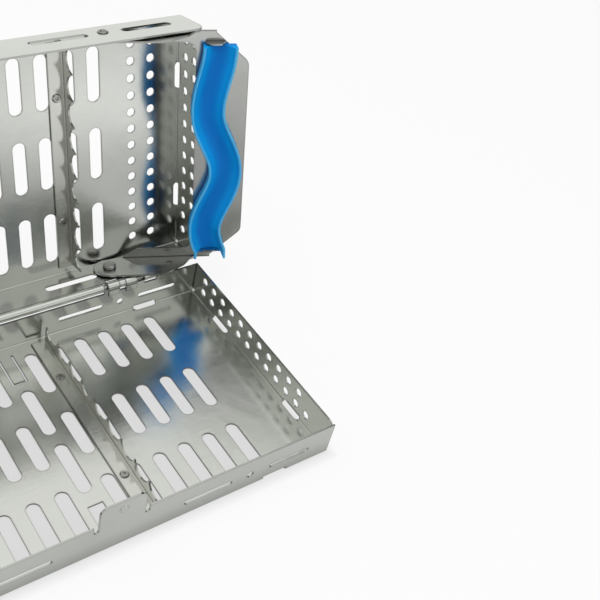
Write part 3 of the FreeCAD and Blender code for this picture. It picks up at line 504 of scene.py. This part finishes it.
def rail_point(across, height, share):
    """A point of the rail in the bracket's frame; share runs 0..1 from its back end."""
    half = RAIL_LENGTH / 2
    from_back = max(0.0, 1.0 - share * END_PARTS)
    from_front = max(0.0, 1.0 - (1.0 - share) * END_PARTS)
    # The prongs swell softly outwards across the section, and reach further at the top than at the foot.
    out = abs(across) / (RAIL_WIDTH / 2)
    side = min(1.0, max(0.0, (out - PRONG_FROM) / (PRONG_FULL - PRONG_FROM)))
    prong = PRONG * side * side * (3.0 - 2.0 * side)
    prong *= PRONG_AT_FOOT + (1.0 - PRONG_AT_FOOT) * height / RAIL_HEIGHT
    cut = CUT_BACK * (height / RAIL_HEIGHT) ** 2
    if height > RAIL_FLOOR:
        hollow = min(1.0, abs(across) / RAIL_INNER) ** (END_HOLLOW * from_back)
        height = RAIL_FLOOR + (height - RAIL_FLOOR) * hollow
    y = half * (1.0 - 2.0 * share) + prong * from_back ** 2 + cut * from_front ** 2
    turn = 2 * math.pi * (half - min(y, half) - RAIL_PHASE) / RAIL_PERIOD
    calm = RAIL_CALM if turn > math.pi else 1.0
    slope = calm * RAIL_SWAY * math.sin(turn) * 2 * math.pi / RAIL_PERIOD
    square = min(1.0, share * SQUARE_PARTS, (1.0 - share) * SQUARE_PARTS)
    tilt = Vector((1.0, -slope * square, 0.0)).normalized()
    swing = calm * (math.cos(turn) + 1.0) - 1.0
    centre = Vector((RAIL_LINE + RAIL_SWAY * swing, y, SEAT))
    return centre + tilt * across - Vector((0.0, 0.0, height))


def build_rail():
    """The wavy gutter on the bracket's plate."""
    section = rail_section()
    bm = bmesh.new()
    painted_light = bm.verts.layers.float.new(PAINTED_LIGHT_ATTRIBUTE)
    rings = []
    for s in range(STATIONS + 1):
        ring = []
        for u, h in section:
            vert = bm.verts.new(rail_point(u, h, s / STATIONS) * MM)
            # Painted light share: 0 in the shaded valley, rising to 1 on the lips that light shines
            # through.
            vert[painted_light] = max(0.0, (h - RAIL_FLOOR) / (RAIL_HEIGHT - RAIL_FLOOR)) ** PAINTED_LIGHT_POWER
            ring.append(vert)
        rings.append(ring)
    joined_rings(bm, rings)
    # The ends are triangulated on the flat section, so that no face spans the arch between the prongs.
    for ring in (rings[0], rings[-1]):
        for corners in tessellate_polygon([[Vector((u, h, 0.0)) for u, h in section]]):
            bm.faces.new([ring[k] for k in corners])
    piece = finished_piece("silicone_trough", bm, bracket_frame(), RAIL_SHARP, SILICONE)
    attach(piece, "bracket")
    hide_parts(SILICONE_NODE)


build_rail()


# ---------------------------------------------------------------- pivot rivets

ARM_INSIDE = 70.05     # from the middle of the bracket to the inside of its arms
# (radius, place outwards from the arm's inside): drum head with a dished face, shank, shoulder in
# the gap between arm and lid, shank, and the flared end outside the lid.
RIVET_PROFILE = [
    (0.0, -2.3), (1.3, -2.33), (2.4, -2.5), (2.9, -2.6), (3.35, -2.5), (3.7, -2.2), (3.82, -1.8),
    (3.85, -0.5), (3.7, -0.1), (3.5, -0.05), (1.6, -0.05), (1.6, 1.05), (2.8, 1.05), (2.8, 1.8),
    (1.6, 1.8), (1.6, 2.8), (3.0, 2.8), (3.05, 3.0), (2.9, 3.3), (2.5, 3.58), (2.0, 3.6),
    (1.3, 3.4), (0.9, 2.9), (0.0, 2.8),
]
RIVET_SEGMENTS = 64
RIVET_SHARP = 40.0     # degrees


def build_pivot_rivet(node, side):
    """The rivet on one side of the bracket, turned about the bracket's own axis."""
    bm = bmesh.new()
    rings = []
    for radius, place in RIVET_PROFILE:
        ring = []
        for k in range(RIVET_SEGMENTS if radius else 1):
            turn = 2 * math.pi * k / RIVET_SEGMENTS
            x, y = radius * math.cos(turn), radius * math.sin(turn)
            ring.append(bm.verts.new((x * MM, y * MM, place * MM)))
        rings.append(ring)
    joined_rings(bm, rings)
    swing = joint("bracket_swing")
    outward = Vector(swing["axis"]).normalized() * side
    seat = Vector(swing["pos_m"]) + outward * ARM_INSIDE * MM
    place = Matrix.Translation(seat) @ outward.to_track_quat("Z", "X").to_matrix().to_4x4()
    piece = finished_piece(node + "_turned", bm, place, RIVET_SHARP, FASTENER_STEEL)
    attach(piece, "lid")
    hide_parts(node)


build_pivot_rivet("pivot_rivet_back", 1.0)
build_pivot_rivet("pivot_rivet_front", -1.0)


# ---------------------------------------------------------------- floor

FLOOR_REACH = 3.0
FLOOR_COLOUR = (0.86, 0.86, 0.86, 1.0)
FLOOR_ROUGHNESS = 0.9
WHITE = (1.0, 1.0, 1.0, 1.0)

# The floor keeps the tray's shadow, and mixes it with a glow by these shares for what the camera sees
# directly and for what it sees in reflections.
SEEN_SHARE = 0.82
REFLECTED_SHARE = 0.7

# Brightness of the glow, painted on the floor. To the camera it is white, with a painted shadow under the
# tray. In reflections it has painted shade under the tray, is painted brighter close to the tray and far
# from it, and has a painted pool of light to the right in front.
UNDER_TRAY = 0.68
UNDER_TRAY_MIRRORED = 0.25
EDGE_SOFT = 0.006               # half the width of the shade's edge
TABLE_LEVEL = 0.25
NEAR_LEVEL = 0.38
NEAR_FROM, NEAR_TO = 0.03, 0.15
FAR_LEVEL = 0.62
FAR_FROM, FAR_TO = 0.4, 1.1
POOL = (0.42, -0.54, 0.0)
POOL_LEVEL = 1.0
POOL_CORE = 0.1                 # radius of its full brightness
POOL_RADIUS = 0.46


def table_glow(n):
    """Brightness that the camera sees, and that reflections see, by place on the table, with painted shade
    under the tray and a painted pool of light.
    """
    place = n.object_point()
    parts = n.split(place)
    low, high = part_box("base_tray")
    past_end = n.math("SUBTRACT", n.math("ABSOLUTE", parts["X"], 0.0), float(high[0]))
    past_side = n.math("SUBTRACT", n.math("ABSOLUTE", parts["Y"], 0.0), float(-low[1]))
    from_tray = n.math("MAXIMUM", past_end, past_side)
    # Painted shadow under the tray, as the camera sees it.
    seen = n.spread(from_tray, UNDER_TRAY, 1.0, -EDGE_SOFT, EDGE_SOFT)
    from_pool = n.add("ShaderNodeVectorMath", operation="DISTANCE")
    n.link(place, from_pool.inputs[0])
    from_pool.inputs[1].default_value = POOL
    # For reflections: a painted pool of light, painted brightening near and far, and painted shade under
    # the tray.
    pool = n.spread(from_pool.outputs["Value"], POOL_LEVEL, 0.0, POOL_CORE, POOL_RADIUS)
    near = n.spread(from_tray, NEAR_LEVEL, 0.0, NEAR_FROM, NEAR_TO)
    far = n.spread(from_tray, 0.0, FAR_LEVEL, FAR_FROM, FAR_TO)
    shade = n.spread(from_tray, UNDER_TRAY_MIRRORED, 1.0, -EDGE_SOFT, EDGE_SOFT)
    mirrored = n.math("MULTIPLY", n.total(pool, near, far, TABLE_LEVEL), shade)
    return seen, mirrored


def floor_material():
    """Pale matt floor, with the glow mixed in for the camera and for clear reflections."""
    n = Nodes("pale_floor")
    n.shader.inputs["Base Color"].default_value = FLOOR_COLOUR
    n.shader.inputs["Roughness"].default_value = FLOOR_ROUGHNESS
    path = n.add("ShaderNodeLightPath")
    clear = n.math("MAXIMUM", path.outputs["Is Glossy Ray"], path.outputs["Is Transmission Ray"])
    glow = n.add("ShaderNodeEmission")
    glow.inputs["Color"].default_value = WHITE
    seen, mirrored = table_glow(n)
    n.link(n.blend_value(clear, seen, mirrored), glow.inputs["Strength"])
    seen_share = n.math("MULTIPLY", path.outputs["Is Camera Ray"], SEEN_SHARE)
    reflected_share = n.math("MULTIPLY", clear, REFLECTED_SHARE)
    mix = n.add("ShaderNodeMixShader")
    n.link(n.total(seen_share, reflected_share), mix.inputs["Fac"])
    n.link(n.shader.outputs[0], mix.inputs[1])
    n.link(glow.outputs[0], mix.inputs[2])
    n.link(mix.outputs[0], n.output.inputs["Surface"])
    return n.material


def build_floor():
    mesh = bpy.data.meshes.new("stage_floor")
    corners = [(x * FLOOR_REACH, y * FLOOR_REACH, 0.0) for x, y in ((-1, -1), (1, -1), (1, 1), (-1, 1))]
    mesh.from_pydata(corners, [], [(0, 1, 2, 3)])
    mesh.materials.append(floor_material())
    floor = bpy.data.objects.new("stage_floor", mesh)
    bpy.context.scene.collection.objects.link(floor)


# ---------------------------------------------------------------- studio

# The studio by direction: a bright ceiling, a bright backdrop near the horizon, and between them walls
# that are light to the left and in front, and dark to the right.
CEILING = 1.05
BACKDROP = 1.0
WALL_DARK = 0.07
WALL_LEFT = 0.62
WALL_FRONT = 0.65
LEFT_AT = math.radians(140.0)
FRONT_AT = math.radians(-60.0)
LEFT_POWER = 1.0       # how narrow each light wall is
FRONT_POWER = 2.0
CEILING_FROM, CEILING_FULL = math.sin(math.radians(47.0)), math.sin(math.radians(49.3))
BACKDROP_FULL, BACKDROP_TO = math.sin(math.radians(9.0)), math.sin(math.radians(20.0))
ROOM_COLOUR = (1.0, 1.0, 0.985, 1.0)


def towards(n, flat, angle, power):
    """1 in the horizontal direction of the angle, falling to 0 at right angles to it."""
    dot = n.add("ShaderNodeVectorMath", operation="DOT_PRODUCT")
    n.link(flat, dot.inputs[0])
    dot.inputs[1].default_value = (math.cos(angle), math.sin(angle), 0.0)
    return n.math("POWER", n.math("MAXIMUM", dot.outputs["Value"], 0.0), power)


def studio_level(n):
    """Brightness of the studio as a node output."""
    direction = n.add("ShaderNodeTexCoord").outputs["Generated"]
    height = n.split(direction)["Z"]
    flat = n.add("ShaderNodeVectorMath", operation="NORMALIZE")
    n.link(n.scaled(direction, (1.0, 1.0, 0.0)), flat.inputs[0])
    left = n.math("MULTIPLY", towards(n, flat.outputs[0], LEFT_AT, LEFT_POWER), WALL_LEFT)
    front = n.math("MULTIPLY", towards(n, flat.outputs[0], FRONT_AT, FRONT_POWER), WALL_FRONT)
    wall = n.total(left, front, WALL_DARK)
    ceiling = n.spread(height, 0.0, 1.0, CEILING_FROM, CEILING_FULL)
    backdrop = n.spread(height, 1.0, 0.0, BACKDROP_FULL, BACKDROP_TO)
    level = n.blend_value(ceiling, wall, n.constant(CEILING))
    return n.blend_value(backdrop, level, n.constant(BACKDROP))


def build_world():
    """The studio for reflections and light, and plain white to the camera."""
    world = bpy.data.worlds.new("studio")
    world.use_nodes = True
    n = Nodes.in_tree(world.node_tree)
    output = n.add("ShaderNodeOutputWorld")
    room = n.add("ShaderNodeBackground")
    room.inputs["Color"].default_value = ROOM_COLOUR
    n.link(studio_level(n), room.inputs["Strength"])
    plain = n.add("ShaderNodeBackground")
    plain.inputs["Color"].default_value = WHITE
    path = n.add("ShaderNodeLightPath")
    mix = n.add("ShaderNodeMixShader")
    n.link(path.outputs["Is Camera Ray"], mix.inputs["Fac"])
    n.link(room.outputs[0], mix.inputs[1])
    n.link(plain.outputs[0], mix.inputs[2])
    n.link(mix.outputs[0], output.inputs["Surface"])
    bpy.context.scene.world = world


def add_light(name, at, aim, size, watts):
    """A soft light that the steel doesn't mirror: its reflections come from the studio and the floor."""
    data = bpy.data.lights.new(name, "AREA")
    data.shape = "RECTANGLE"
    data.size, data.size_y = size
    data.energy = watts
    lamp = bpy.data.objects.new(name, data)
    lamp.location = at
    lamp.visible_glossy = False
    lamp.rotation_euler = (Vector(aim) - Vector(at)).to_track_quat("-Z", "Y").to_euler()
    bpy.context.scene.collection.objects.link(lamp)


# ---------------------------------------------------------------- camera

LENS = 57.9            # millimetres on a sensor 36 mm wide
SHIFT = 0.1            # the picture's middle lies this share of its width to the right of the lens's axis
CAMERA_AT = (-0.1565, -0.2891, 0.4122)
CAMERA_LOOK = (0.5023, 0.5509, -0.6665)
CAMERA_ROLL = math.radians(13.11)


def build_camera():
    data = bpy.data.cameras.new("camera")
    camera = bpy.data.objects.new("camera", data)
    bpy.context.scene.collection.objects.link(camera)
    data.sensor_width = 36.0
    data.lens = LENS
    data.shift_x = SHIFT
    data.clip_start = 0.01
    data.clip_end = 20.0
    turn = Vector(CAMERA_LOOK).to_track_quat("-Z", "Y").to_matrix().to_4x4()
    roll = Matrix.Rotation(CAMERA_ROLL, 4, "Z")
    camera.matrix_world = Matrix.Translation(Vector(CAMERA_AT)) @ turn @ roll
    bpy.context.scene.camera = camera


build_floor()
build_world()
build_camera()
add_light("top_light", at=(-0.15, 0.05, 1.1), aim=(0.0, 0.0, 0.0), size=(1.2, 1.2), watts=5.0)
add_light("front_light", at=(0.62, -0.95, 0.95), aim=(0.0, 0.0, 0.05), size=(0.6, 0.5), watts=0.8)
bpy.context.scene.view_settings.view_transform = "Standard"
